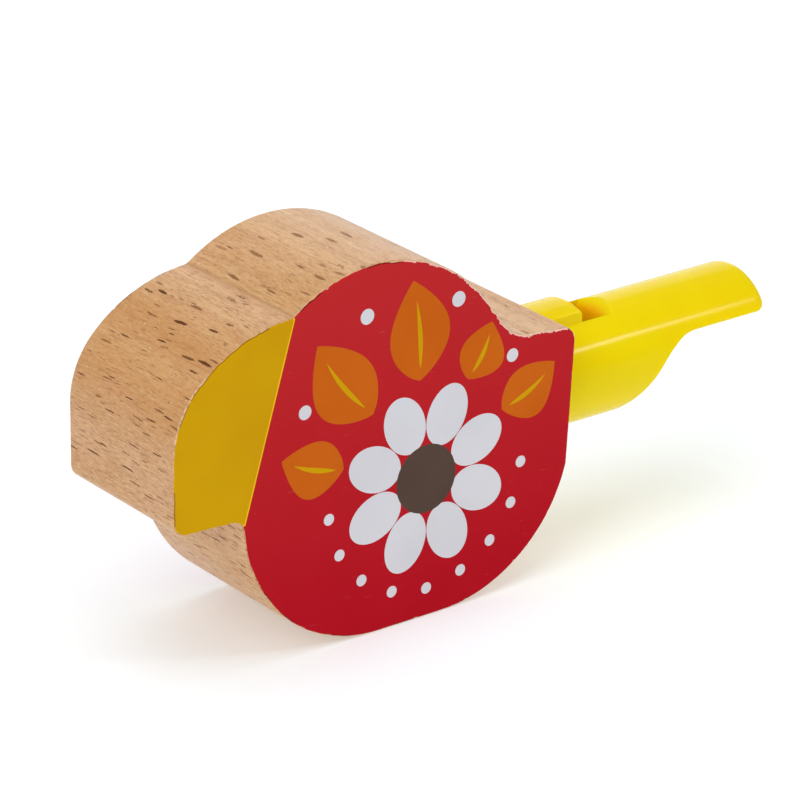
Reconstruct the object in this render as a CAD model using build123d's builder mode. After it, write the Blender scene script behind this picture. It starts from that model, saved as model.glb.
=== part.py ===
import os
from math import cos, radians, sin, sqrt

from build123d import *

os.makedirs("parts", exist_ok=True)

# ---------------------------------------------------------------------------
# Driving dimensions, millimetres.
# Frame: origin at the middle of the flat base, +Z up, beak towards -X,
# tail and whistle towards +X, flat printed sides face -Y and +Y.
# Lengths along X below are first given from the tail face ("rear"), and
# X_REAR moves them into the frame.
# ---------------------------------------------------------------------------
X_REAR = 31.8                 # tail face, measured from the middle of the base

# wooden body outline (side view)
WOOD_T = 27.8                 # thickness of the block
FILM_T = 0.1                  # printed film on each flat side
BASE_BACK = -25.8             # flat base, tail end
BASE_FRONT = -37.8            # flat base, breast end
BELLY_R = 25.3                # round from the base up to the tail
BREAST_R = 24.6               # round from the base up to the throat
HEAD_X, HEAD_Z, HEAD_R = -38.0, 34.5, 25.5
BEAK_FRONT = -74.6            # blunt front of the beak
BEAK_LEAN = 0.2               # the front leans out this much towards the tip
BEAK_LOW = 25.5               # underside of the beak
EDGE_R = 0.35                 # worn rounding of the outline edges
FILM_INSET = 0.4              # film stops short of the rounded edge

# slide axis and bores
AXIS_Z = 27.9                 # height of the whistle axis
SLEEVE_OR, SLEEVE_IR = 9.0, 7.55
SLEEVE_IN, SLEEVE_OUT = -52.0, -3.0
RECESS_R = 9.6                # counterbore in the tail face that takes the barrel
FELT_OR, FELT_IR, FELT_L = 8.4, 7.53, 3.0
GROOVE_W, GROOVE_R, GROOVE_END = 2.3, 8.5, -7.0
KEY_W, KEY_R, KEY_L = 2.0, 8.35, 8.5

# slide tube and whistle head
TUBE_OR, TUBE_IR = 7.5, 6.3
TUBE_IN, TUBE_OUT = -46.0, 7.5
HEAD_OR = 9.25
HEAD_IN, HEAD_OUT = -2.7, 44.4
WINDOW_W = 8.0
SADDLE_IN, SADDLE_R = 0.4, 10.95   # as wide as the window
RIM_R = 0.6                   # rounding of the lip block
LIP_LOW_X, LIP_TOP_X = 10.98, 9.3  # ramp of the lip, at the bore and at its upper end
LIP_TOP_Z = 36.3              # height where the ramp turns upright
WAY_FLOOR, WAY_ROOF = 32.4, 33.3   # windway between the block and the flat ceiling
EXIT_X = 13.9                 # where the windway opens into the window
SLOPE_TOP_X, SLOPE_R = 14.9, 3.0   # wall rising from there to the barrel's top, and its rounding
BEAK_FLAT = 31.35             # underside of the mouthpiece
NOSE_R = 2.4                  # rounding of its end in side view, underneath
MOUTH_R, MOUTH_A = 2.4, 25.0  # rounding of the skin at the mouth end, and its angle to the end's flat
SOFT_R = 0.5                  # moulded rounding of the cut-away's edges

# piston, fixed to the bird
PLUG_L = 4.0
ROD_R, COLLAR_R = 1.5, 2.3
COLLAR_X = -12.3
BACK_X, PAD_X, FRONT_X, TIP_X = -11.3, -10.5, -5.7, -4.9
WASHER_R, PAD_R = 5.6, 6.27
SCREW_R, SCREW_HEAD_R, SCREW_HEAD_L = 1.0, 2.4, 1.5


def rx(x):
    """Distance from the tail face to the frame's X."""
    return X_REAR + x


slide_axis = Axis((0, 0, AXIS_Z), (1, 0, 0))

# corners of the bird outline, in the frame
belly_c = (rx(BASE_BACK), BELLY_R)
breast_c = (rx(BASE_FRONT), BREAST_R)
base_a = (rx(BASE_FRONT), 0.0)
base_b = (rx(BASE_BACK), 0.0)
tail_low_z = 18.4
tail_low = (rx(BASE_BACK) + sqrt(BELLY_R**2 - (BELLY_R - tail_low_z) ** 2), tail_low_z)
tail_top = (rx(0.2), 40.95)
stub_z = 42.36
stub_in = (rx(HEAD_X) + sqrt(HEAD_R**2 - (stub_z - HEAD_Z) ** 2), stub_z)
neck_z = 55.06
neck = (rx(HEAD_X) - sqrt(HEAD_R**2 - (neck_z - HEAD_Z) ** 2), neck_z)
beak_mid = (rx(-69.55), 48.53)
beak_top = (rx(BEAK_FRONT), 37.5)
beak_tip = (rx(BEAK_FRONT - BEAK_LEAN), BEAK_LOW)
throat_z = 25.0
throat = (rx(BASE_FRONT) - sqrt(BREAST_R**2 - (BREAST_R - throat_z) ** 2), throat_z)


def near(vertices, point):
    """The outline corner closest to a point given as (x, z)."""
    return vertices.sort_by_distance((point[0], point[1], 0))[0]


# ---------------------------------------------------------------------------
# Bird outline, drawn once in the side view (sketch x = X, sketch y = Z)
# ---------------------------------------------------------------------------
with BuildSketch() as outline:
    with BuildLine():
        Line(base_a, base_b)
        RadiusArc(base_b, tail_low, -BELLY_R)
        Line(tail_low, tail_top)
        Line(tail_top, stub_in)
        ThreePointArc(stub_in, (rx(HEAD_X), HEAD_Z + HEAD_R), neck)
        front = Line(beak_tip, beak_top)
        bow = TangentArc(beak_top, beak_mid, tangent=(0, 1))
        TangentArc(beak_mid, neck, tangent=bow % 1)
        Line(beak_tip, throat)
        RadiusArc(throat, base_a, -BREAST_R)
    make_face()
    fillet(near(outline.vertices(), stub_in), radius=7.5)
    fillet(near(outline.vertices(), tail_top), radius=2.5)
    fillet(near(outline.vertices(), tail_low), radius=1.6)
    fillet(near(outline.vertices(), beak_tip), radius=2.3)
    fillet(near(outline.vertices(), throat), radius=2.0)
    fillet(near(outline.vertices(), neck), radius=0.8)

# ---------------------------------------------------------------------------
# Wooden body: outline block with worn edges, bored from the tail
# ---------------------------------------------------------------------------
with BuildPart() as wooden_body:
    with BuildSketch(Plane.XZ) as side:
        add(outline.sketch)
    extrude(amount=WOOD_T / 2, both=True)
    flats = wooden_body.faces().filter_by(Axis.Y).sort_by(Axis.Y)
    fillet(flats[0].edges() + flats[-1].edges(), radius=EDGE_R)
    with BuildSketch(Plane.YZ.offset(rx(SLEEVE_IN))):
        with Locations((0, AXIS_Z)):
            Circle(SLEEVE_OR)
    extrude(amount=-SLEEVE_IN + 5, mode=Mode.SUBTRACT)
    with BuildSketch(Plane.YZ.offset(rx(SLEEVE_OUT))):
        with Locations((0, AXIS_Z)):
            Circle(RECESS_R)
    extrude(amount=-SLEEVE_OUT + 5, mode=Mode.SUBTRACT)
wooden_body.part.label = "wooden_body"
export_step(wooden_body.part, "parts/wooden_body.step")

# ---------------------------------------------------------------------------
# Printed films on the two flat sides
# ---------------------------------------------------------------------------
with BuildSketch() as film_shape:
    add(outline.sketch)
    offset(amount=-FILM_INSET, mode=Mode.REPLACE)

with BuildPart() as left_face_print:
    with BuildSketch(Plane.XZ.offset(WOOD_T / 2)):
        add(film_shape.sketch)
    extrude(amount=FILM_T)
left_face_print.part.label = "left_face_print"
export_step(left_face_print.part, "parts/left_face_print.step")

with BuildPart() as right_face_print:
    with BuildSketch(Plane.XZ.offset(-WOOD_T / 2)):
        add(film_shape.sketch)
    extrude(amount=-FILM_T)
right_face_print.part.label = "right_face_print"
export_step(right_face_print.part, "parts/right_face_print.step")

# ---------------------------------------------------------------------------
# Guide sleeve: liner in the bore, with a felt seat and a blind key groove
# ---------------------------------------------------------------------------
with BuildPart() as guide_sleeve:
    with BuildSketch(Plane.YZ.offset(rx(SLEEVE_IN))):
        with Locations((0, AXIS_Z)):
            Circle(SLEEVE_OR)
            Circle(SLEEVE_IR, mode=Mode.SUBTRACT)
    extrude(amount=SLEEVE_OUT - SLEEVE_IN)
    with BuildSketch(Plane.YZ.offset(rx(SLEEVE_OUT - FELT_L))):
        with Locations((0, AXIS_Z)):
            Circle(FELT_OR)
    extrude(amount=FELT_L, mode=Mode.SUBTRACT)
    with BuildSketch(Plane.YZ.offset(rx(SLEEVE_IN))):
        with Locations((0, AXIS_Z - GROOVE_R / 2 - 3.0)):
            Rectangle(GROOVE_W, GROOVE_R - 6.0)
    extrude(amount=GROOVE_END - SLEEVE_IN, mode=Mode.SUBTRACT)
guide_sleeve.part.label = "guide_sleeve"
export_step(guide_sleeve.part, "parts/guide_sleeve.step")

with BuildPart() as slide_felt_ring:
    with BuildSketch(Plane.YZ.offset(rx(SLEEVE_OUT - FELT_L))):
        with Locations((0, AXIS_Z)):
            Circle(FELT_OR)
            Circle(FELT_IR, mode=Mode.SUBTRACT)
    extrude(amount=FELT_L - 0.2)
slide_felt_ring.part.label = "slide_felt_ring"
export_step(slide_felt_ring.part, "parts/slide_felt_ring.step")

# ---------------------------------------------------------------------------
# Rod anchor plug, rod, and the piston stack on its end
# ---------------------------------------------------------------------------
with BuildPart() as rod_anchor_plug:
    with BuildSketch(Plane.YZ.offset(rx(SLEEVE_IN))):
        with Locations((0, AXIS_Z)):
            Circle(SLEEVE_IR)
            Circle(ROD_R, mode=Mode.SUBTRACT)
    extrude(amount=PLUG_L)
    chamfer(rod_anchor_plug.edges().filter_by(GeomType.CIRCLE).group_by(Axis.X)[-1].sort_by(SortBy.RADIUS)[-1], length=0.4)
rod_anchor_plug.part.label = "rod_anchor_plug"
export_step(rod_anchor_plug.part, "parts/rod_anchor_plug.step")

with BuildPart() as piston_rod:
    with BuildSketch(Plane.YZ.offset(rx(SLEEVE_IN))):
        with Locations((0, AXIS_Z)):
            Circle(ROD_R)
    extrude(amount=TIP_X - 0.2 - SLEEVE_IN)
    with BuildSketch(Plane.YZ.offset(rx(COLLAR_X))):
        with Locations((0, AXIS_Z)):
            Circle(COLLAR_R)
    extrude(amount=BACK_X - COLLAR_X)
    with BuildSketch(Plane.YZ.offset(rx(BACK_X))):
        with Locations((0, AXIS_Z)):
            Circle(SCREW_R)
    extrude(amount=TIP_X - BACK_X, mode=Mode.SUBTRACT)
piston_rod.part.label = "piston_rod"
export_step(piston_rod.part, "parts/piston_rod.step")

with BuildPart() as piston_back_washer:
    with BuildSketch(Plane.YZ.offset(rx(BACK_X))):
        with Locations((0, AXIS_Z)):
            Circle(WASHER_R)
            Circle(ROD_R, mode=Mode.SUBTRACT)
    extrude(amount=PAD_X - BACK_X)
piston_back_washer.part.label = "piston_back_washer"
export_step(piston_back_washer.part, "parts/piston_back_washer.step")

with BuildPart() as piston_pad:
    with BuildSketch(Plane.XZ):
        with BuildLine():
            Polyline(
                (rx(PAD_X), AXIS_Z + ROD_R),
                (rx(FRONT_X), AXIS_Z + ROD_R),
                (rx(FRONT_X), AXIS_Z + PAD_R - 0.5),
                (rx(FRONT_X) - 0.5, AXIS_Z + PAD_R),
                (rx(PAD_X) + 0.5, AXIS_Z + PAD_R),
                (rx(PAD_X), AXIS_Z + PAD_R - 0.5),
                close=True,
            )
        make_face()
    revolve(axis=slide_axis)
piston_pad.part.label = "piston_pad"
export_step(piston_pad.part, "parts/piston_pad.step")

with BuildPart() as piston_front_washer:
    with BuildSketch(Plane.YZ.offset(rx(FRONT_X))):
        with Locations((0, AXIS_Z)):
            Circle(WASHER_R)
            Circle(ROD_R, mode=Mode.SUBTRACT)
    extrude(amount=TIP_X - FRONT_X)
piston_front_washer.part.label = "piston_front_washer"
export_step(piston_front_washer.part, "parts/piston_front_washer.step")

with BuildPart() as piston_screw:
    with BuildSketch(Plane.YZ.offset(rx(BACK_X))):
        with Locations((0, AXIS_Z)):
            Circle(SCREW_R)
    extrude(amount=TIP_X - BACK_X)
    with BuildSketch(Plane.YZ.offset(rx(TIP_X))):
        with Locations((0, AXIS_Z)):
            Circle(SCREW_HEAD_R)
    extrude(amount=SCREW_HEAD_L)
    fillet(piston_screw.edges().filter_by(GeomType.CIRCLE).group_by(Axis.X)[-1], radius=0.5)
    with BuildSketch(Plane.YZ.offset(rx(TIP_X + SCREW_HEAD_L))):
        with Locations((0, AXIS_Z)):
            Rectangle(6.0, 0.6)
    extrude(amount=-0.7, mode=Mode.SUBTRACT)
piston_screw.part.label = "piston_screw"
export_step(piston_screw.part, "parts/piston_screw.step")

# ---------------------------------------------------------------------------
# Slide tube with its key, pressed into the whistle head
# ---------------------------------------------------------------------------
with BuildPart() as slide_tube:
    with BuildSketch(Plane.YZ.offset(rx(TUBE_IN))):
        with Locations((0, AXIS_Z)):
            Circle(TUBE_OR)
    extrude(amount=TUBE_OUT - TUBE_IN)
    with BuildSketch(Plane.YZ.offset(rx(TUBE_IN))):
        with Locations((0, AXIS_Z - KEY_R / 2 - 3.5)):
            Rectangle(KEY_W, KEY_R - 7.0)
    extrude(amount=KEY_L)
    with BuildSketch(Plane.YZ.offset(rx(TUBE_IN))):
        with Locations((0, AXIS_Z)):
            Circle(TUBE_IR)
    extrude(amount=TUBE_OUT - TUBE_IN, mode=Mode.SUBTRACT)
slide_tube.part.label = "slide_tube"
export_step(slide_tube.part, "parts/slide_tube.step")

# ---------------------------------------------------------------------------
# Whistle head: barrel, raised lip block, window, windway, cut-away mouthpiece
# ---------------------------------------------------------------------------
# side view of everything cut away under the mouthpiece
with BuildSketch() as cutaway:
    with BuildLine():
        Spline(
            (rx(13.6), AXIS_Z - HEAD_OR - 0.6),
            (rx(15.8), 20.05),
            (rx(18.2), 22.55),
            (rx(21.2), 26.15),
            (rx(23.25), 28.65),
            (rx(25.45), 30.28),
            (rx(29.8), BEAK_FLAT),
            tangents=((1.0, 0.6), (1.0, 0.0)),
        )
        Line((rx(29.8), BEAK_FLAT), (rx(HEAD_OUT - NOSE_R), BEAK_FLAT))
        RadiusArc((rx(HEAD_OUT - NOSE_R), BEAK_FLAT), (rx(HEAD_OUT), BEAK_FLAT + NOSE_R), -NOSE_R)
        Polyline(
            (rx(HEAD_OUT), BEAK_FLAT + NOSE_R),
            (rx(HEAD_OUT + 2), BEAK_FLAT + NOSE_R),
            (rx(HEAD_OUT + 2), 10.0),
            (rx(13.6), 10.0),
            (rx(13.6), AXIS_Z - HEAD_OR - 0.6),
        )
    make_face()

mouth_in = (rx(HEAD_OUT - MOUTH_R * cos(radians(MOUTH_A))), AXIS_Z + HEAD_OR)
mouth_out = (rx(HEAD_OUT), AXIS_Z + HEAD_OR - MOUTH_R * (1.0 - sin(radians(MOUTH_A))))

with BuildPart() as whistle_head:
    with BuildSketch(Plane.XZ):
        with BuildLine():
            RadiusArc(mouth_in, mouth_out, MOUTH_R)
            Polyline(
                mouth_out,
                (rx(HEAD_OUT), AXIS_Z),
                (rx(HEAD_IN), AXIS_Z),
                (rx(HEAD_IN), AXIS_Z + HEAD_OR),
                mouth_in,
            )
        make_face()
    revolve(axis=slide_axis)
    # underside cut away to leave a beak-shaped mouthpiece
    with BuildSketch(Plane.XZ.offset(15)):
        add(cutaway.sketch)
    extrude(amount=-30, mode=Mode.SUBTRACT)
    # moulded rounding all along the cut-away, up to the flat of the mouth end:
    # every edge between the barrel's skin and the cut, not the lines across
    skin = whistle_head.faces().filter_by(GeomType.CYLINDER).sort_by(SortBy.AREA)[-1]
    mouth = whistle_head.faces().filter_by(GeomType.TORUS)
    soft = (skin.edges() + mouth.edges()).filter_by(
        lambda e: e.bounding_box().min.X > rx(10.0) and e.bounding_box().size.X > 0.01
    )
    fillet(soft, radius=SOFT_R)
    # raised lip block between the tail and the window
    with BuildSketch(Plane.YZ.offset(rx(SADDLE_IN))):
        with Locations((0, AXIS_Z)):
            Circle(SADDLE_R)
        with Locations((0, AXIS_Z + 10.0)):
            Rectangle(WINDOW_W, 8.0, mode=Mode.INTERSECT)
    extrude(amount=LIP_LOW_X + 1.0 - SADDLE_IN)
    # bore with a flat ceiling, level with the lip and the windway's roof, and
    # the round socket of the tube
    with BuildSketch(Plane.YZ.offset(rx(TUBE_OUT))):
        with Locations((0, AXIS_Z)):
            Circle(TUBE_IR)
        with Locations((0, WAY_ROOF + 10.0)):
            Rectangle(20.0, 20.0, mode=Mode.SUBTRACT)
    extrude(amount=HEAD_OUT - TUBE_OUT, mode=Mode.SUBTRACT)
    with BuildSketch(Plane.YZ.offset(rx(HEAD_IN))):
        with Locations((0, AXIS_Z)):
            Circle(TUBE_OR)
    extrude(amount=TUBE_OUT - HEAD_IN, mode=Mode.SUBTRACT)
    # window: the ramp of the lip at its tail end, and at its mouth end a wall
    # that slopes up and rolls over into the barrel's top
    with BuildSketch(Plane.XZ.offset(WINDOW_W / 2)) as window:
        with BuildLine():
            Polyline(
                (rx(LIP_LOW_X), WAY_ROOF),
                (rx(LIP_LOW_X), AXIS_Z + 3.0),
                (rx(EXIT_X), AXIS_Z + 3.0),
                (rx(EXIT_X), WAY_ROOF - 0.3),
                (rx(SLOPE_TOP_X), AXIS_Z + HEAD_OR + 0.05),
                (rx(SLOPE_TOP_X + 6.0), AXIS_Z + HEAD_OR + 0.05),
                (rx(SLOPE_TOP_X + 6.0), 42.0),
                (rx(LIP_TOP_X), 42.0),
                (rx(LIP_TOP_X), LIP_TOP_Z),
                close=True,
            )
        make_face()
        fillet(near(window.vertices(), (rx(SLOPE_TOP_X), AXIS_Z + HEAD_OR + 0.05)), radius=SLOPE_R)
    extrude(amount=-WINDOW_W, mode=Mode.SUBTRACT)
    # rounded rim of the lip block, softened shoulders
    high = whistle_head.edges().filter_by(lambda e: e.center().Z > AXIS_Z + 8.0)
    rim = high.filter_by(GeomType.CIRCLE).filter_by(lambda e: abs(e.center().X - rx(LIP_TOP_X)) < 0.01).sort_by(Axis.Z)[-1]
    shoulders = high.filter_by(GeomType.LINE).filter_by(Axis.X).filter_by(
        lambda e: e.center().Z > AXIS_Z + 9.6 and e.center().X < rx(8.0)
    )
    fillet([rim] + list(shoulders), radius=RIM_R)
whistle_head.part.label = "whistle_head"
export_step(whistle_head.part, "parts/whistle_head.step")

# ---------------------------------------------------------------------------
# Windway block: fills the bore under the windway, flush with the cut-away
# ---------------------------------------------------------------------------
with BuildPart() as windway_block:
    with BuildSketch(Plane.YZ.offset(rx(EXIT_X))):
        with Locations((0, AXIS_Z)):
            Circle(TUBE_IR)
        with Locations((0, WAY_FLOOR + 10.0)):
            Rectangle(20.0, 20.0, mode=Mode.SUBTRACT)
    extrude(amount=HEAD_OUT - 0.6 - EXIT_X)
    with BuildSketch(Plane.XZ.offset(15)):
        add(cutaway.sketch)
    extrude(amount=-30, mode=Mode.SUBTRACT)
windway_block.part.label = "windway_block"
export_step(windway_block.part, "parts/windway_block.step")

print("base", base_a, base_b, "tail_low", tail_low, "stub_in", stub_in, "neck", neck, "throat", throat)
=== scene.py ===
import math
import random

import bmesh
import bpy
from mathutils import Matrix, Vector
from mathutils.geometry import delaunay_2d_cdt


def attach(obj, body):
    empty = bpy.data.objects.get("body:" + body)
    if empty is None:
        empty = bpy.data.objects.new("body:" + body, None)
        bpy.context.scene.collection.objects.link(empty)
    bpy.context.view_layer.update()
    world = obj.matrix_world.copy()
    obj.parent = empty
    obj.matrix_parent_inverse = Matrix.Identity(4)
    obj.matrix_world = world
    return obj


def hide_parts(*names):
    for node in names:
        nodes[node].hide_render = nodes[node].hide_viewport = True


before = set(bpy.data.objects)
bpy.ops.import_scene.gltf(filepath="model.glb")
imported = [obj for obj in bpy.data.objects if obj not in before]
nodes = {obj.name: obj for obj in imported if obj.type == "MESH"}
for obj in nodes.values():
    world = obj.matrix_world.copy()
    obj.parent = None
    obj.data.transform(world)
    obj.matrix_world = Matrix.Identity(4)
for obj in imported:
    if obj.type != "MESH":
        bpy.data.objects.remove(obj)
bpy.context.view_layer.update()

scene = bpy.context.scene
MM = 0.001


# ------------------------------------------------------------------ shading helpers
def lin(r, g, b):
    """sRGB 0-255 to linear RGBA."""
    def f(c):
        c /= 255.0
        return c / 12.92 if c <= 0.04045 else ((c + 0.055) / 1.055) ** 2.4
    return (f(r), f(g), f(b), 1.0)


class Mat:
    """A material with a Principled shader, and short ways to add the nodes that feed it."""

    def __init__(self, name):
        self.material = bpy.data.materials.new(name)
        self.material.use_nodes = True
        self.tree = self.material.node_tree
        self.tree.nodes.clear()
        self.bsdf = self.tree.nodes.new("ShaderNodeBsdfPrincipled")
        out = self.tree.nodes.new("ShaderNodeOutputMaterial")
        self.tree.links.new(self.bsdf.outputs[0], out.inputs["Surface"])
        coord = self.tree.nodes.new("ShaderNodeTexCoord")
        self.normal = coord.outputs["Normal"]
        self.mm = self.vec("MULTIPLY", coord.outputs["Object"], (1000.0,) * 3)

    def put(self, socket, value):
        if isinstance(value, bpy.types.NodeSocket):
            self.tree.links.new(value, socket)
        else:
            socket.default_value = value

    def shader(self, **values):
        for key, value in values.items():
            self.put(self.bsdf.inputs[key.replace("_", " ")], value)

    def vec(self, op, a, b):
        n = self.tree.nodes.new("ShaderNodeVectorMath")
        n.operation = op
        self.put(n.inputs[0], a)
        self.put(n.inputs[1], b)
        return n.outputs[1] if op in ("LENGTH", "DISTANCE", "DOT_PRODUCT") else n.outputs[0]

    def math(self, op, a, b=0.0, clamp=False):
        n = self.tree.nodes.new("ShaderNodeMath")
        n.operation = op
        n.use_clamp = clamp
        self.put(n.inputs[0], a)
        self.put(n.inputs[1], b)
        return n.outputs[0]

    def split(self, v):
        n = self.tree.nodes.new("ShaderNodeSeparateXYZ")
        self.put(n.inputs[0], v)
        return n.outputs

    def noise(self, v, scale=1.0, detail=2.0, rough=0.5, colour=False):
        n = self.tree.nodes.new("ShaderNodeTexNoise")
        self.put(n.inputs["Vector"], v)
        n.inputs["Scale"].default_value = scale
        n.inputs["Detail"].default_value = detail
        n.inputs["Roughness"].default_value = rough
        return n.outputs["Color"] if colour else n.outputs["Fac"]

    def cells(self, v, feature="F1"):
        """Distance to the nearest seeded point, and a random number per point."""
        n = self.tree.nodes.new("ShaderNodeTexVoronoi")
        n.feature = feature
        self.put(n.inputs["Vector"], v)
        n.inputs["Scale"].default_value = 1.0
        n.inputs["Randomness"].default_value = 1.0
        return n.outputs["Distance"], self.split(n.outputs["Color"])

    def span(self, v, a, b, lo=0.0, hi=1.0, smooth=True):
        n = self.tree.nodes.new("ShaderNodeMapRange")
        n.interpolation_type = "SMOOTHSTEP" if smooth else "LINEAR"
        self.put(n.inputs["Value"], v)
        self.put(n.inputs["From Min"], a)
        self.put(n.inputs["From Max"], b)
        self.put(n.inputs["To Min"], lo)
        self.put(n.inputs["To Max"], hi)
        return n.outputs["Result"]

    def mix(self, fac, a, b, blend="MIX"):
        n = self.tree.nodes.new("ShaderNodeMix")
        n.data_type = "RGBA"
        n.blend_type = blend
        self.put(n.inputs[0], fac)
        self.put(n.inputs[6], a)
        self.put(n.inputs[7], b)
        return n.outputs[2]

    def bump(self, height, strength, distance):
        n = self.tree.nodes.new("ShaderNodeBump")
        n.inputs["Strength"].default_value = strength
        n.inputs["Distance"].default_value = distance
        self.put(n.inputs["Height"], height)
        self.put(self.bsdf.inputs["Normal"], n.outputs[0])

    def flecks(self, v, sizes, keep, reach, soft):
        """Lens-shaped marks. sizes: the cell in mm. keep: the share of cells with a mark. reach: its size in cells."""
        d, rnd = self.cells(self.vec("DIVIDE", v, sizes))
        size = self.span(rnd[0], 1.0 - keep, 1.0, 0.45 * reach, reach, smooth=False)
        size = self.math("MULTIPLY", size, self.math("GREATER_THAN", rnd[0], 1.0 - keep))
        inner = self.math("SUBTRACT", size, soft)
        return self.span(d, inner, size, 1.0, 0.0), rnd

    def lenses(self, v, cell, axes, keep, more, ragged):
        """Flat lens-shaped marks, one to a cell (mm), semi-axes in mm, in the share `keep` of the cells.

        more: added to each cell's chance. ragged: unevenness of the outline in mm.
        """
        n = self.tree.nodes.new("ShaderNodeTexVoronoi")
        at = self.vec("DIVIDE", v, cell)
        self.put(n.inputs["Vector"], at)
        n.inputs["Scale"].default_value = 1.0
        rnd = self.split(n.outputs["Color"])
        away = self.vec("MULTIPLY", self.vec("SUBTRACT", at, n.outputs["Position"]), cell)
        rough = self.vec("SUBTRACT", self.noise(v, 2.6, 2.0, 0.6, colour=True), (0.5,) * 3)
        away = self.vec("ADD", away, self.vec("MULTIPLY", rough, (2.0 * ragged, 3.0 * ragged, 2.0 * ragged)))
        d = self.vec("LENGTH", self.vec("DIVIDE", away, axes), (0.0,) * 3)
        chance = self.math("ADD", rnd[0], more)
        size = self.span(rnd[2], 0.0, 1.0, 0.50, 1.0, smooth=False)
        mark = self.span(self.math("DIVIDE", d, size), 0.70, 1.0, 1.0, 0.0)
        return self.math("MULTIPLY", mark, self.math("GREATER_THAN", chance, 1.0 - keep)), rnd


# ------------------------------------------------------------------ beech
BEECH_DARK, BEECH_LIGHT = lin(200, 146, 94), lin(224, 179, 125)
BEECH_GOLD, BEECH_PINK = lin(202, 145, 82), lin(215, 161, 117)


def beech():
    m = Mat("beech")
    p = m.mm
    x, y, z = m.split(p)
    wander = m.vec("SUBTRACT", m.noise(p, 0.045, 2.0, 0.5, colour=True), (0.5,) * 3)
    g = m.vec("ADD", p, m.vec("MULTIPLY", wander, (2.2, 0.0, 2.0)))
    # growth rings about a pith far out behind the tail
    ring = m.vec("DISTANCE", m.vec("MULTIPLY", g, (1.0, 0.02, 1.0)), (128.0, 0.0, 22.0))
    rv = m.tree.nodes.new("ShaderNodeCombineXYZ")
    m.put(rv.inputs[0], ring)
    bands = m.noise(rv.outputs[0], 0.33, 3.0, 0.6)
    streaks = m.noise(m.vec("MULTIPLY", g, (2.2, 0.10, 2.2)), 1.0, 4.0, 0.6)
    fine = m.noise(m.vec("MULTIPLY", g, (4.2, 0.55, 4.2)), 1.0, 3.0, 0.65)
    sand = m.noise(m.vec("MULTIPLY", p, (3.6, 1.6, 3.6)), 1.0, 2.0, 0.6)
    hue = m.noise(m.vec("MULTIPLY", p, (0.14, 0.03, 0.14)), 1.0, 2.0, 0.5)
    cloud = m.noise(p, 0.11, 3.0, 0.55)

    # the grain stands out more on the beak than on the head
    head = m.span(x, -25.0, -17.0)
    tone = m.math("ADD", m.math("MULTIPLY", bands, 0.5), m.math("MULTIPLY", streaks, 0.5))
    base = m.mix(m.span(tone, 0.36, 0.64), BEECH_DARK, BEECH_LIGHT)
    base = m.mix(m.math("MULTIPLY", m.span(hue, 0.42, 0.62), 0.55), base, BEECH_GOLD)
    base = m.mix(m.math("MULTIPLY", m.span(cloud, 0.45, 0.72), 0.45), base, BEECH_PINK)
    dim = m.span(head, 0.0, 1.0, 0.75, 0.55, smooth=False)
    base = m.mix(m.math("MULTIPLY", m.span(fine, 0.48, 0.30), dim), base, lin(152, 96, 54))
    base = m.mix(m.math("MULTIPLY", m.span(fine, 0.54, 0.72), 0.42), base, lin(238, 202, 156))
    base = m.mix(m.math("MULTIPLY", m.span(sand, 0.47, 0.32), 0.18), base, lin(162, 106, 64))
    base = m.mix(m.math("MULTIPLY", m.span(sand, 0.55, 0.70), 0.18), base, lin(242, 208, 166))
    # warmer over the top of the beak
    crest = m.math("MULTIPLY", m.span(x, -25.0, -31.0), m.span(z, 36.0, 46.0))
    base = m.mix(m.math("MULTIPLY", crest, 0.34), base, lin(196, 132, 66))

    # medullary rays: flat ribbons in the wood, cut by the surface to dark spindles
    # that run along the grain (Y) and lie in rows
    rows = m.math("SUBTRACT", m.noise(m.vec("MULTIPLY", p, (0.45, 0.03, 0.9)), 1.0, 2.0, 0.5), 0.5)
    big, r1 = m.lenses(g, (1.65, 4.8, 0.82), (0.62, 2.15, 0.185), 0.70, m.math("MULTIPLY", rows, 1.7), 0.10)
    big = m.math("MULTIPLY", big, m.span(r1[1], 0.0, 0.7, 0.55, 1.0, smooth=False))
    big = m.math("MULTIPLY", big, m.span(head, 0.0, 1.0, 1.0, 0.62))
    # they thin out towards the throat and over the crown
    big = m.math("MULTIPLY", big, m.math("GREATER_THAN", r1[2], m.span(x, -14.0, -2.0, 0.0, 0.55)))
    small, r2 = m.lenses(m.vec("ADD", g, (31.0, 17.0, 5.0)), (0.9, 3.2, 0.48), (0.28, 1.15, 0.085), 0.36, m.math("MULTIPLY", rows, 0.9), 0.05)
    small = m.math("MULTIPLY", small, m.span(r2[1], 0.0, 1.0, 0.40, 1.0, smooth=False))
    small = m.math("MULTIPLY", small, m.span(head, 0.0, 1.0, 0.95, 0.40))
    long, r4 = m.lenses(m.vec("ADD", g, (3.0, 41.0, 9.0)), (2.0, 9.0, 1.15), (0.85, 3.6, 0.10), 0.50, 0.0, 0.05)
    long = m.math("MULTIPLY", long, m.span(r4[1], 0.0, 1.0, 0.40, 0.95, smooth=False))
    long = m.math("MULTIPLY", long, m.span(x, -33.0, -40.0, 0.15, 1.0))
    base = m.mix(m.math("MULTIPLY", long, 0.80), base, lin(120, 72, 38))
    base = m.mix(m.math("MULTIPLY", small, 0.82), base, lin(116, 68, 36))
    base = m.mix(m.math("MULTIPLY", big, 0.94), base, lin(92, 50, 23))
    # pale pores
    specks, r3 = m.lenses(m.vec("ADD", g, (7.0, 3.0, 11.0)), (0.9, 1.5, 0.7), (0.12, 0.28, 0.10), 0.26, 0.0, 0.05)
    base = m.mix(m.math("MULTIPLY", specks, 0.60), base, lin(246, 220, 188))

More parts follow.
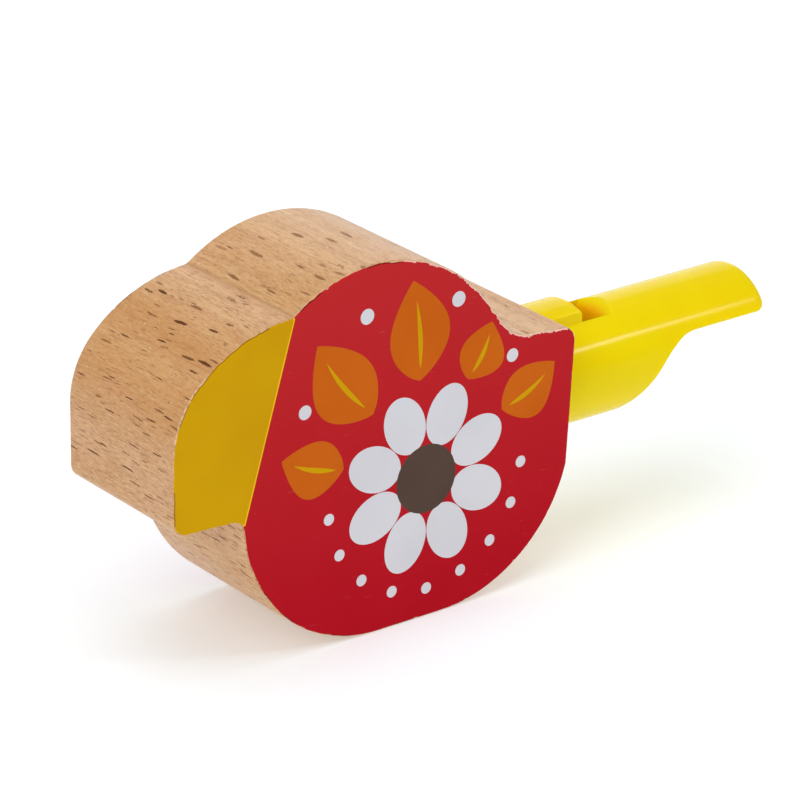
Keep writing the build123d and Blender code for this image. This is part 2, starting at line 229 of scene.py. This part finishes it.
    # painted shade: the groove between head and beak is drawn a little darker, where shade falls in the crease
    groove_shade = m.vec("DISTANCE", m.vec("MULTIPLY", p, (1.0, 0.0, 1.0)), (-21.28, 0.0, 54.95))
    groove_shade = m.math("MULTIPLY", m.span(groove_shade, 0.75, 0.15), m.span(fine, 0.35, 0.60, 0.10, 0.30))
    base = m.mix(groove_shade, base, lin(146, 98, 64))

    # edges of the sawn sides: pale torn fibres along the back of the head and the tail, a thin pale line elsewhere that
    # is partly wear and partly a painted highlight on the rounded edge, the painted highlight strongest along the
    # beak's brow, and stains under the ink's hem along the beak
    side = m.math("ABSOLUTE", y)
    fray = m.math("MULTIPLY", m.math("SUBTRACT", m.noise(p, 2.2, 3.0, 0.65), 0.5), 0.55)
    torn = m.math("MULTIPLY", m.span(x, -3.0, 4.0), m.span(z, 36.0, 39.0))
    edge = m.span(m.math("ADD", side, fray), 13.58, 13.86)
    # painted highlight: the rounded edge over the beak's brow is drawn pale where it catches the light
    brow = m.math("MULTIPLY", m.span(x, -33.0, -38.0), m.span(z, 32.0, 38.0))
    edge_wear_and_highlight = m.math("MAXIMUM", m.span(torn, 0.0, 1.0, 0.14, 0.70), m.math("MULTIPLY", brow, 0.62))
    base = m.mix(m.math("MULTIPLY", edge, edge_wear_and_highlight), base, lin(244, 206, 184))
    stain = m.math("MULTIPLY", m.span(side, 13.60, 13.78), m.span(m.noise(p, 1.5, 3.0, 0.7), 0.50, 0.60))
    stain = m.math("MULTIPLY", stain, m.span(x, -14.0, -20.0))
    base = m.mix(m.math("MULTIPLY", stain, 0.42), base, lin(128, 82, 36))
    end = m.math("MULTIPLY", m.span(side, 13.84, 13.897), m.span(torn, 0.0, 1.0, 0.30, 0.80))
    dots = m.noise(p, 4.5, 3.0, 0.7)
    base = m.mix(end, base, m.mix(m.span(dots, 0.35, 0.65), lin(214, 150, 136), lin(248, 214, 202)))

    marks = m.math("ADD", m.math("MULTIPLY", big, 0.8), m.math("MULTIPLY", m.math("ADD", small, long), 0.4))
    m.bump(m.math("SUBTRACT", m.math("MULTIPLY", m.math("ADD", fine, sand), 0.5), marks), 0.35, 0.00007)
    m.shader(
        Base_Color=base,
        Roughness=m.math("ADD", m.span(fine, 0.25, 0.75, 0.50, 0.36, smooth=False), m.math("MULTIPLY", marks, 0.35)),
        Specular_IOR_Level=m.span(marks, 0.05, 0.5, 0.40, 0.05),
        Coat_Weight=0.12,
        Coat_Roughness=0.22,
    )
    return m.material


# ------------------------------------------------------------------ screen-printed inks
def ink(name, colour, shade, lift=0.0, painted_sheen_top=None):
    """An ink film. Its optional top colour is a painted sheen: the ink is drawn lighter towards the top."""
    m = Mat(name)
    p = m.mm
    broad = m.noise(p, 0.07, 2.0, 0.5)
    grit = m.noise(m.vec("MULTIPLY", p, (1.0, 0.2, 1.0)), 5.2, 3.0, 0.7)
    base = m.mix(m.span(broad, 0.30, 0.70), colour, shade)
    # painted sheen: the colour turns lighter towards the top
    if painted_sheen_top:
        base = m.mix(m.span(m.split(p)[2], 6.0, 58.0, smooth=False), base, painted_sheen_top)
    base = m.mix(m.math("MULTIPLY", m.span(grit, 0.50, 0.30), 0.25), base, shade)
    # dust specks and pinholes
    pale, r = m.flecks(m.vec("MULTIPLY", p, (1.0, 0.0, 1.0)), (5.2, 1.0, 5.2), 0.15, 0.042, 0.02)
    base = m.mix(m.math("MULTIPLY", pale, 0.70), base, lin(226, 190, 172))
    dark, r = m.flecks(m.vec("ADD", m.vec("MULTIPLY", p, (1.0, 0.0, 1.0)), (9.0, 0.0, 4.0)), (8.0, 1.0, 6.5), 0.14, 0.035, 0.015)
    base = m.mix(m.math("MULTIPLY", dark, 0.60), base, lin(70, 40, 30))
    # hairline scuffs
    scuff = m.span(m.noise(m.vec("MULTIPLY", p, (0.30, 0.2, 7.0)), 1.0, 2.0, 0.5), 0.72, 0.78)
    base = m.mix(m.math("MULTIPLY", scuff, 0.10), base, lin(235, 225, 215))
    m.bump(m.math("ADD", grit, m.math("MULTIPLY", broad, 0.3)), 0.10, 0.00004)
    m.shader(
        Base_Color=base,
        Roughness=m.span(grit, 0.3, 0.7, 0.40 + lift, 0.52 + lift, smooth=False),
        Specular_IOR_Level=0.035,
    )
    return m.material


# ------------------------------------------------------------------ plastics, metal, felt, rubber
def moulded(name, colour, shade, rough, fine_scale=2.4, bump=0.05, spec=0.32, glow=0.0, deep=None):
    """Moulded plastic. deep: a painted orange shade down in the sound window, for light bounced round inside it."""
    m = Mat(name)
    p = m.mm
    broad = m.noise(p, 0.06, 2.0, 0.5)
    fine = m.noise(p, fine_scale, 3.0, 0.6)
    base = m.mix(m.span(broad, 0.35, 0.68), colour, shade)
    if deep:
        x, y, z = m.split(p)
        out = m.vec("DISTANCE", m.vec("MULTIPLY", p, (0.0, 1.0, 1.0)), (0.0, 0.0, 27.9))
        painted_window_shade = m.math("MULTIPLY", m.span(x, 48.6, 46.2), m.span(x, 39.5, 40.5))
        painted_window_shade = m.math("MULTIPLY", painted_window_shade, m.span(out, 9.0, 7.6))
        painted_window_shade = m.math("MULTIPLY", painted_window_shade, m.span(m.math("ABSOLUTE", y), 4.3, 4.1))
        # painted shade: orange drawn into the sound window for light bounced round its walls
        base = m.mix(m.math("MULTIPLY", painted_window_shade, 0.62), base, deep)
    hair = m.noise(m.vec("MULTIPLY", p, (0.25, 5.0, 5.0)), 1.0, 2.0, 0.5)
    hair = m.span(hair, 0.70, 0.76)
    base = m.mix(m.math("MULTIPLY", hair, 0.05), base, lin(255, 246, 190))
    m.bump(m.math("ADD", m.math("MULTIPLY", fine, 0.35), m.math("MULTIPLY", broad, 1.4)), bump, 0.00006)
    m.shader(
        Base_Color=base,
        Roughness=m.math("ADD", m.span(fine, 0.3, 0.7, rough - 0.03, rough + 0.04, smooth=False), m.math("MULTIPLY", hair, 0.12)),
        IOR=1.52,
        Specular_IOR_Level=spec,
        Subsurface_Weight=glow,
        Subsurface_Radius=(1.0, 0.45, 0.03),
        Subsurface_Scale=0.0022,
    )
    return m.material


def steel():
    m = Mat("zinc_steel")
    p = m.mm
    turned = m.noise(m.vec("MULTIPLY", p, (9.0, 0.8, 0.8)), 1.0, 3.0, 0.6)
    patch = m.noise(p, 0.5, 3.0, 0.6)
    base = m.mix(m.span(patch, 0.35, 0.7), lin(196, 197, 199), lin(168, 170, 174))
    base = m.mix(m.math("MULTIPLY", m.span(turned, 0.55, 0.3), 0.35), base, lin(120, 122, 126))
    m.bump(turned, 0.12, 0.00003)
    m.shader(Base_Color=base, Metallic=1.0, Roughness=m.span(turned, 0.3, 0.7, 0.22, 0.40, smooth=False))
    return m.material


def felt():
    m = Mat("wool_felt")
    p = m.mm
    tuft = m.noise(p, 3.2, 5.0, 0.75)
    fibre = m.noise(m.vec("MULTIPLY", p, (2.0, 9.0, 2.0)), 1.0, 4.0, 0.7)
    base = m.mix(m.span(tuft, 0.3, 0.7), lin(186, 183, 176), lin(226, 223, 216))
    base = m.mix(m.math("MULTIPLY", m.span(fibre, 0.55, 0.7), 0.35), base, lin(240, 238, 232))
    m.bump(m.math("ADD", tuft, fibre), 0.6, 0.00025)
    m.shader(Base_Color=base, Roughness=0.95, Sheen_Weight=0.3, Specular_IOR_Level=0.2)
    return m.material


M_BEECH = beech()
# the red is drawn lighter towards the top, a painted sheen
M_RED = ink("ink_red", lin(185, 14, 32), lin(181, 11, 29), painted_sheen_top=lin(195, 40, 43))
M_YELLOW_INK = ink("ink_yellow", lin(212, 162, 1), lin(207, 155, 1), 0.04)
M_LINE = ink("ink_yellow_line", lin(248, 198, 30), lin(240, 188, 24), 0.04)
M_WHITE = ink("ink_white", lin(221, 220, 225), lin(216, 215, 220), 0.06)
M_ORANGE = ink("ink_orange", lin(208, 102, 18), lin(202, 95, 14), 0.02)
M_BROWN = ink("ink_brown", lin(88, 70, 60), lin(82, 65, 56), 0.05)
M_RED_RIM = ink("ink_red_rim", lin(138, 14, 24), lin(120, 12, 20))
M_YELLOW_RIM = ink("ink_yellow_rim", lin(168, 120, 8), lin(150, 104, 10))
M_TORN = ink("ink_torn", lin(252, 204, 194), lin(246, 184, 176), 0.1)
INKS = [M_RED, M_YELLOW_INK, M_LINE, M_WHITE, M_ORANGE, M_BROWN, M_RED_RIM, M_YELLOW_RIM, M_TORN]
RED, YELLOW, LINE, WHITE, ORANGE, BROWN, RED_RIM, YELLOW_RIM, TORN = range(9)
# the sound window gets a painted orange shade
M_PLASTIC = moulded("yellow_plastic", lin(244, 218, 1), lin(241, 213, 0), 0.14, spec=0.085, glow=0.5, deep=lin(250, 158, 0))
M_LINER = moulded("liner_plastic", lin(226, 224, 212), lin(217, 214, 201), 0.42, 3.0, 0.12)
M_STEEL = steel()
M_FELT = felt()
M_RUBBER = moulded("silicone_pad", lin(214, 212, 204), lin(203, 200, 191), 0.55, 4.0, 0.2)

for name, material in {
    "wooden_body": M_BEECH,
    "left_face_print": M_RED,
    "right_face_print": M_RED,
    "guide_sleeve": M_LINER,
    "rod_anchor_plug": M_LINER,
    "slide_felt_ring": M_FELT,
    "piston_rod": M_STEEL,
    "piston_back_washer": M_STEEL,
    "piston_front_washer": M_STEEL,
    "piston_screw": M_STEEL,
    "piston_pad": M_RUBBER,
    "whistle_head": M_PLASTIC,
    "slide_tube": M_PLASTIC,
    "windway_block": M_PLASTIC,
}.items():
    o = nodes[name]
    if o.material_slots:
        for s in o.material_slots:
            s.material = material
    else:
        o.data.materials.append(material)


# ------------------------------------------------------------------ the block's outline, in mm, seen from -Y
def arc(c, r, a0, a1, step=0.25):
    n = max(2, int(abs(math.radians(a1 - a0)) * r / step))
    return [
        (c[0] + r * math.cos(math.radians(a0 + (a1 - a0) * i / n)), c[1] + r * math.sin(math.radians(a0 + (a1 - a0) * i / n)))
        for i in range(n + 1)
    ]


def angle(c, q):
    return math.degrees(math.atan2(q[1] - c[1], q[0] - c[0]))


def circle3(a, b, c):
    ax, ay, bx, by, cx, cy = *a, *b, *c
    d = 2 * (ax * (by - cy) + bx * (cy - ay) + cx * (ay - by))
    ux = ((ax * ax + ay * ay) * (by - cy) + (bx * bx + by * by) * (cy - ay) + (cx * cx + cy * cy) * (ay - by)) / d
    uy = ((ax * ax + ay * ay) * (cx - bx) + (bx * bx + by * by) * (ax - cx) + (cx * cx + cy * cy) * (bx - ax)) / d
    return (ux, uy), math.hypot(ax - ux, ay - uy)


def corner(a, b, c, r):
    """Points that round the corner b between the directions to a and c by radius r."""
    b, u, v = Vector(b), (Vector(a) - Vector(b)).normalized(), (Vector(c) - Vector(b)).normalized()
    half = u.angle(v) / 2
    t = r / math.tan(half)
    p, q = b + u * t, b + v * t
    centre = b + (u + v).normalized() * (r / math.sin(half))
    a0, a1 = angle(centre, p), angle(centre, q)
    d = (a1 - a0 + 180) % 360 - 180
    return arc(centre, r, a0, a0 + d, 0.2)


def outline():
    """The block's edge as a closed loop of points, counter-clockwise seen from -Y."""
    tail_low, tail_top, stub_in = (30.341, 18.4), (32.0, 40.95), (18.058, 42.36)
    belly, head, beak, breast = (6.0, 25.3), (-6.2, 34.5), (-27.679, 37.248), (-6.0, 24.6)
    neck, beak_in, tip, throat = (-21.284, 55.06), (-37.75, 48.53), (-43.0, 25.5), (-30.597, 25.0)
    brow, brow_r = (-20.606, 29.324), 25.745
    ring = [(-6.0 + 12.0 * i / 46, 0.0) for i in range(46)]
    ring += arc(belly, 25.3, -90.0, angle(belly, tail_low) - 1.5)
    ring += corner((29.95, 17.15), tail_low, tail_top, 1.6)
    ring += [(tail_low[0] + (tail_top[0] - tail_low[0]) * t / 80, tail_low[1] + (tail_top[1] - tail_low[1]) * t / 80) for t in range(8, 70)]
    ring += corner(tail_low, tail_top, stub_in, 2.5)
    ring += [(tail_top[0] + (stub_in[0] - tail_top[0]) * t / 60, tail_top[1] + (stub_in[1] - tail_top[1]) * t / 60) for t in range(14, 40)]
    a_in = angle(head, stub_in)
    toward = (stub_in[0] - math.sin(math.radians(a_in)), stub_in[1] + math.cos(math.radians(a_in)))
    ring += corner(tail_top, stub_in, toward, 7.5)
    a_from = angle(head, ring[-1])
    ring += arc(head, 25.5, a_from + 0.5, angle(head, neck) - 0.8)
    ring += arc(brow, brow_r, angle(brow, neck) + 0.8, angle(brow, beak_in))
    ring += arc(beak, 15.123, angle(beak, beak_in), 179.045)[1:]
    ring += [(-42.8 - 0.2 * 0.235 * i / 12.0, 37.5 - 0.235 * i) for i in range(1, 40)]
    ring += corner((-42.95, 30.0), tip, throat, 2.3)
    ring += [(tip[0] + (throat[0] - tip[0]) * t / 40, tip[1] + (throat[1] - tip[1]) * t / 40) for t in range(9, 33)]
    toward = (throat[0] - 0.016, throat[1] - 1.0)
    ring += corner(tip, throat, toward, 2.0)
    ring += arc(breast, 24.6, angle(breast, ring[-1]) % 360 + 0.5, 270.0)[:-1]
    clean = [Vector(ring[0])]
    for q in ring[1:]:
        if (Vector(q) - clean[-1]).length > 0.06:
            clean.append(Vector(q))
    return clean


def resample(loop, step):
    out, carry = [], 0.0
    for i, p in enumerate(loop):
        q = loop[(i + 1) % len(loop)]
        d = (q - p).length
        t = carry
        while t < d:
            out.append(p.lerp(q, t / d))
            t += step
        carry = t - d
    if (out[-1] - out[0]).length < 0.4 * step:
        out.pop()
    return out


def normals(loop):
    """Unit inward normals of a counter-clockwise loop, evened out over its neighbours."""
    n, res = len(loop), []
    for i in range(n):
        t = loop[(i + 2) % n] - loop[i - 2]
        res.append(Vector((-t.y, t.x)).normalized())
    return res


def smooth_noise(rng, n, period):
    """A closed run of n values from 0 to 1 that changes over about `period` steps."""
    k = max(4, n // period)
    key = [rng.random() for _ in range(k)]
    res = []
    for i in range(n):
        u = i * k / n
        j, f = int(u), u - int(u)
        f = f * f * (3 - 2 * f)
        res.append(key[j % k] * (1 - f) + key[(j + 1) % k] * f)
    return res


def ellipse(c, a, b, turn, n=40):
    ct, st = math.cos(math.radians(turn)), math.sin(math.radians(turn))
    return [
        Vector((c[0] + a * math.cos(t) * ct - b * math.sin(t) * st, c[1] + a * math.cos(t) * st + b * math.sin(t) * ct))
        for t in (2 * math.pi * i / n for i in range(n))
    ]


def leaf(c, turn, r0, r1, half, bend, lo=0.0, hi=1.0, n=26):
    """A pointed leaf that grows outward from r0 to r1 along the direction `turn` about c."""
    ct, st = math.cos(math.radians(turn)), math.sin(math.radians(turn))
    up, down = [], []
    for i in range(n + 1):
        t = i / n
        w = half * math.sin(math.pi * t ** 0.85) ** 0.9 if 0 < i < n else 0.0
        s = lo + (hi - lo) * t
        r, off = r0 + (r1 - r0) * s, bend * math.sin(math.pi * s)
        for side, row in ((1, up), (-1, down)):
            v = off + side * w
            row.append(Vector((c[0] + r * ct - v * st, c[1] + r * st + v * ct)))
    return up + down[-2:0:-1]


def inside(loop, x, z):
    hit, j = False, len(loop) - 1
    for i in range(len(loop)):
        a, b = loop[i], loop[j]
        if (a.y > z) != (b.y > z) and x < (b.x - a.x) * (z - a.y) / (b.y - a.y) + a.x:
            hit = not hit
        j = i
    return hit


# a folk flower: white petals round a brown middle, with a fan of orange leaves and a string of dots
FLOWER = (3.0, 23.0)
MOTIFS = [(BROWN, ellipse(FLOWER, 5.6, 5.6, 0, 56))]
for k in range(8):
    a = 22.5 + 45.0 * k
    c = (FLOWER[0] + 10.4 * math.cos(math.radians(a)), FLOWER[1] + 10.4 * math.sin(math.radians(a)))
    MOTIFS.append((WHITE, ellipse(c, 5.0, 3.72, a, 44)))
for a, r1, half, bend in ((160, 28.4, 4.6, 0.7), (127, 33.2, 5.6, 0.9), (94, 32.8, 5.6, -0.6), (61, 25.9, 4.4, -0.8), (28, 28.0, 4.6, -0.9)):
    MOTIFS.append((YELLOW, leaf(FLOWER, a, 16.4, r1, 0.42, bend, 0.12, 0.80)))
    MOTIFS.append((ORANGE, leaf(FLOWER, a, 16.4, r1, half, bend)))
for a, r, size in ((143.5, 27.8, 1.15), (110.5, 31.0, 1.25), (77.5, 28.5, 1.25), (44.5, 23.1, 1.1)):
    c = (FLOWER[0] + r * math.cos(math.radians(a)), FLOWER[1] + r * math.sin(math.radians(a)))
    MOTIFS.append((WHITE, ellipse(c, size, size, 0, 22)))
for k in range(9):
    a = 186.0 + 21.0 * k
    c = (FLOWER[0] + 18.3 * math.cos(math.radians(a)), FLOWER[1] + 18.3 * math.sin(math.radians(a)))
    MOTIFS.append((WHITE, ellipse(c, 0.95, 0.95, 0, 20)))
# the beak is yellow up to a straight line from the nape notch to the throat notch
EDGE_A, EDGE_B = Vector((-20.3, 57.2)), Vector((-31.0, 22.6))
EDGE_N = Vector((EDGE_B.y - EDGE_A.y, EDGE_A.x - EDGE_B.x)).normalized()


def colour_at(x, z):
    d = (Vector((x, z)) - EDGE_A).dot(EDGE_N)
    if d > 0.14:
        return YELLOW
    if d > -0.10:
        return LINE
    for which, loop in MOTIFS:
        if inside(loop, x, z):
            return which
    return RED


BLOCK = 13.9      # half the block's thickness
ROUND = 0.35      # rounding of its edges


def wood_at(inset):
    """How far out the wood's surface is, that much in from the outline."""
    if inset >= ROUND:
        return BLOCK
    return BLOCK - ROUND + math.sqrt(max(0.0, ROUND ** 2 - (ROUND - inset) ** 2))


def print_piece(name, sign, seed):
    rng = random.Random(seed)
    loop = resample(outline(), 0.22)
    inward = normals(loop)
    n = len(loop)
    slow, mid, fast = smooth_noise(rng, n, 60), smooth_noise(rng, n, 9), smooth_noise(rng, n, 2)
    bead, bite = smooth_noise(rng, n, 14), smooth_noise(rng, n, 5)
    hem, beaded = [], []
    for i, p in enumerate(loop):
        frayed = 0.03 + 0.06 * slow[i] + 0.09 * mid[i] + 0.06 * fast[i]
        # torn most along the top of the tail stub and where the head falls to it
        torn = max(0.0, 1.0 - abs(p.x - 21.5) / 9.5) ** 0.5 if p.y > 36.0 else 0.0
        torn = max(torn, 0.8 * max(0.0, 1.0 - abs(p.x - 9.0) / 11.0) ** 0.5 if p.y > 44.0 else 0.0)
        frayed += torn * (0.20 * max(0.0, mid[i] - 0.45) + 0.30 * fast[i] * bite[i] + 0.28 * rng.random() ** 2)
        hem.append(frayed)
        # pale where it is torn; elsewhere thick and dark at its very edge, in runs
        beaded.append(TORN if torn > 0.25 and bead[i] > 0.22 else (RED_RIM if bead[i] > (0.45 if p.y > 44.0 else 0.70) else RED))
    for _ in range(26):  # small chips all round
        at, wide, deep = rng.randrange(n), rng.randrange(1, 4), 0.06 + 0.22 * rng.random() ** 2
        for j in range(-wide, wide + 1):
            hem[(at + j) % n] += deep * (1 - abs(j) / (wide + 1)) * (0.7 + 0.6 * rng.random())

    # the flat film starts from an evened-out line inside the frayed one
    inner = [max(hem[(i + j) % n] for j in range(-3, 4)) for i in range(n)]
    inner = [sum(inner[(i + j) % n] for j in range(-3, 4)) / 7.0 for i in range(n)]

    def ring(edge, extra, lift):
        row = []
        for p, q, h in zip(loop, inward, edge):
            c = p + q * (h + extra)
            row.append((c.x, wood_at(h + extra) + lift, c.y))
        return row

    rims = [ring(hem, 0.0, 0.004), ring(hem, 0.05, 0.040), ring(hem, 0.14, 0.055), ring(inner, 0.30, 0.060)]
    flat = [Vector((c[0], c[2])) for c in rims[-1]]
    top_y = BLOCK + 0.062

    points, edges = list(flat), [(i, (i + 1) % n) for i in range(n)]
    for _, shape in MOTIFS:
        k = len(points)
        points += shape
        edges += [(k + i, k + (i + 1) % len(shape)) for i in range(len(shape))]
    for off in (0.14, -0.10):
        k = len(points)
        a, b = EDGE_A + EDGE_N * off, EDGE_B + EDGE_N * off
        points += [a.lerp(b, t / 60) for t in range(61)]
        edges += [(k + i, k + i + 1) for i in range(60)]
    verts, _, faces, *_ = delaunay_2d_cdt(points, edges, [], 0, 1e-5)

    bm = bmesh.new()
    upper, lower, keep = {}, {}, []
    for f in faces:
        cx = sum(verts[i].x for i in f) / 3
        cz = sum(verts[i].y for i in f) / 3
        if inside(flat, cx, cz):
            keep.append((f, colour_at(cx, cz)))
    # only the film itself: not the tiny curls where its line crosses itself in a corner
    shared = {}
    for t, (f, _) in enumerate(keep):
        for k in range(3):
            shared.setdefault(frozenset((f[k], f[(k + 1) % 3])), []).append(t)
    todo = [next(t for t, (f, which) in enumerate(keep) if which == BROWN)]
    film = set(todo)
    while todo:
        f = keep[todo.pop()][0]
        for k in range(3):
            for t in shared[frozenset((f[k], f[(k + 1) % 3]))]:
                if t not in film:
                    film.add(t)
                    todo.append(t)
    keep = [keep[t] for t in sorted(film)]
    for f, _ in keep:
        for i in f:
            if i not in upper:
                v = verts[i]
                upper[i] = bm.verts.new((v.x * MM, sign * top_y * MM, v.y * MM))
                lower[i] = bm.verts.new((v.x * MM, sign * (BLOCK - 0.02) * MM, v.y * MM))
    edge_use = {}
    for f, which in keep:
        face = bm.faces.new([upper[i] for i in f])
        face.material_index = which
        bm.faces.new([lower[i] for i in reversed(f)]).material_index = RED
        for k in range(3):
            e = frozenset((f[k], f[(k + 1) % 3]))
            edge_use[e] = edge_use.get(e, 0) + 1
    # the hem runs from the flat film over the rounded edge
    border = [e for e, c in edge_use.items() if c == 1]
    nxt = {}
    for e in border:
        a, b = tuple(e)
        nxt.setdefault(a, []).append(b)
        nxt.setdefault(b, []).append(a)
    start = min(nxt, key=lambda i: (verts[i] - flat[0]).length)
    order, prev = [start], None
    for _ in range(len(border)):
        step = [i for i in nxt[order[-1]] if i != prev]
        prev = order[-1]
        if not step or step[0] == start:
            break
        order.append(step[0])
    print("scene:", name, "border", len(order), "of", len(border), "faces", len(keep))
    # each border point goes out along the hem of its nearest loop point
    hems, dark = [], []
    for i in order:
        k = min(range(n), key=lambda j: (flat[j] - verts[i]).length_squared)
        dark.append(beaded[k])
        hems.append([bm.verts.new((rims[r][k][0] * MM, sign * rims[r][k][1] * MM, rims[r][k][2] * MM)) for r in (2, 1, 0)])
    count = len(order)
    for k in range(count):
        a, b = order[k], order[(k + 1) % count]
        which = colour_at((verts[a].x + verts[b].x) / 2, (verts[a].y + verts[b].y) / 2)
        col_a, col_b = [upper[a], *hems[k], lower[a]], [upper[b], *hems[(k + 1) % count], lower[b]]
        edge = which
        if dark[k] == TORN:
            edge = TORN
        elif dark[k] == RED_RIM:
            edge = {RED: RED_RIM, YELLOW: YELLOW_RIM}.get(which, which)
        for r in range(4):
            bm.faces.new((col_a[r], col_b[r], col_b[r + 1], col_a[r + 1])).material_index = edge if r else which
    bmesh.ops.remove_doubles(bm, verts=bm.verts, dist=2e-6)
    bmesh.ops.recalc_face_normals(bm, faces=bm.faces)
    mesh = bpy.data.meshes.new(name)
    bm.to_mesh(mesh)
    bm.free()
    for material in INKS:
        mesh.materials.append(material)
    o = bpy.data.objects.new(name, mesh)
    scene.collection.objects.link(o)
    return o


for name, node, sign, seed in (("left_print", "left_face_print", -1, 11), ("right_print", "right_face_print", 1, 23)):
    piece = print_piece(name, sign, seed)
    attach(piece, "bird")
    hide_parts(node)

# ------------------------------------------------------------------ camera
cam = bpy.data.cameras.new("photo_camera")
cam.sensor_fit = "HORIZONTAL"
cam.sensor_width = 36.0
cam.lens = 4589.122 * 36.0 / 800.0
cam.clip_start, cam.clip_end = 0.01, 50.0
cam_obj = bpy.data.objects.new("photo_camera", cam)
scene.collection.objects.link(cam_obj)
R = Vector((0.80207665, -0.59721694, -0.00222994))
U = Vector((0.23311447, 0.30963627, 0.92183677))
F = Vector((0.54984606, 0.73990358, -0.38757194))
cam_obj.matrix_world = Matrix((
    (R.x, U.x, -F.x, -0.380134),
    (R.y, U.y, -F.y, -0.522944),
    (R.z, U.z, -F.z, 0.303788),
    (0, 0, 0, 1),
))
scene.camera = cam_obj

# ------------------------------------------------------------------ floor and light
mesh = bpy.data.meshes.new("floor")
bm = bmesh.new()
bmesh.ops.create_grid(bm, x_segments=8, y_segments=8, size=3.0)
bm.to_mesh(mesh)
bm.free()
floor = bpy.data.objects.new("floor", mesh)
floor.location = (0, 0, -0.00002)
scene.collection.objects.link(floor)
mf = Mat("floor_paper")
mf.shader(
    Base_Color=mf.mix(mf.noise(mf.mm, 0.02, 2.0, 0.5), (0.78, 0.83, 0.86, 1.0), (0.80, 0.85, 0.88, 1.0)),
    Roughness=0.9,
    Specular_IOR_Level=0.1,
    Emission_Color=(1.0, 1.0, 1.0, 1.0),
    Emission_Strength=0.30,
)
floor.data.materials.append(mf.material)

world = bpy.data.worlds.new("studio")
scene.world = world
world.use_nodes = True
bg = world.node_tree.nodes.get("Background") or world.node_tree.nodes.new("ShaderNodeBackground")
bg.inputs["Color"].default_value = (1.0, 1.0, 1.0, 1.0)
bg.inputs["Strength"].default_value = 0.45


def softbox(name, direction, distance, size, power, aim=(0.01, 0.0, 0.03), size_y=None):
    light = bpy.data.lights.new(name, "AREA")
    light.shape = "RECTANGLE"
    light.size, light.size_y = size, size_y or size
    light.energy = power
    o = bpy.data.objects.new(name, light)
    d = Vector(direction).normalized()
    o.location = Vector(aim) + d * distance
    o.rotation_mode = "QUATERNION"
    o.rotation_quaternion = d.to_track_quat("Z", "Y")
    scene.collection.objects.link(o)
    return o


softbox("overhead", (-0.10, -0.03, 1.0), 1.2, 1.0, 5.4)
softbox("back", (0.50, 0.80, 0.30), 1.5, 1.0, 3.0)
softbox("left", (-0.85, -0.35, 0.75), 1.3, 0.7, 4.0)
softbox("strip", (0.55, -0.60, 0.58), 1.2, 0.20, 1.5, aim=(0.05, 0.0, 0.03), size_y=0.09)

scene.view_settings.view_transform = "Standard"
scene.view_settings.look = "None"
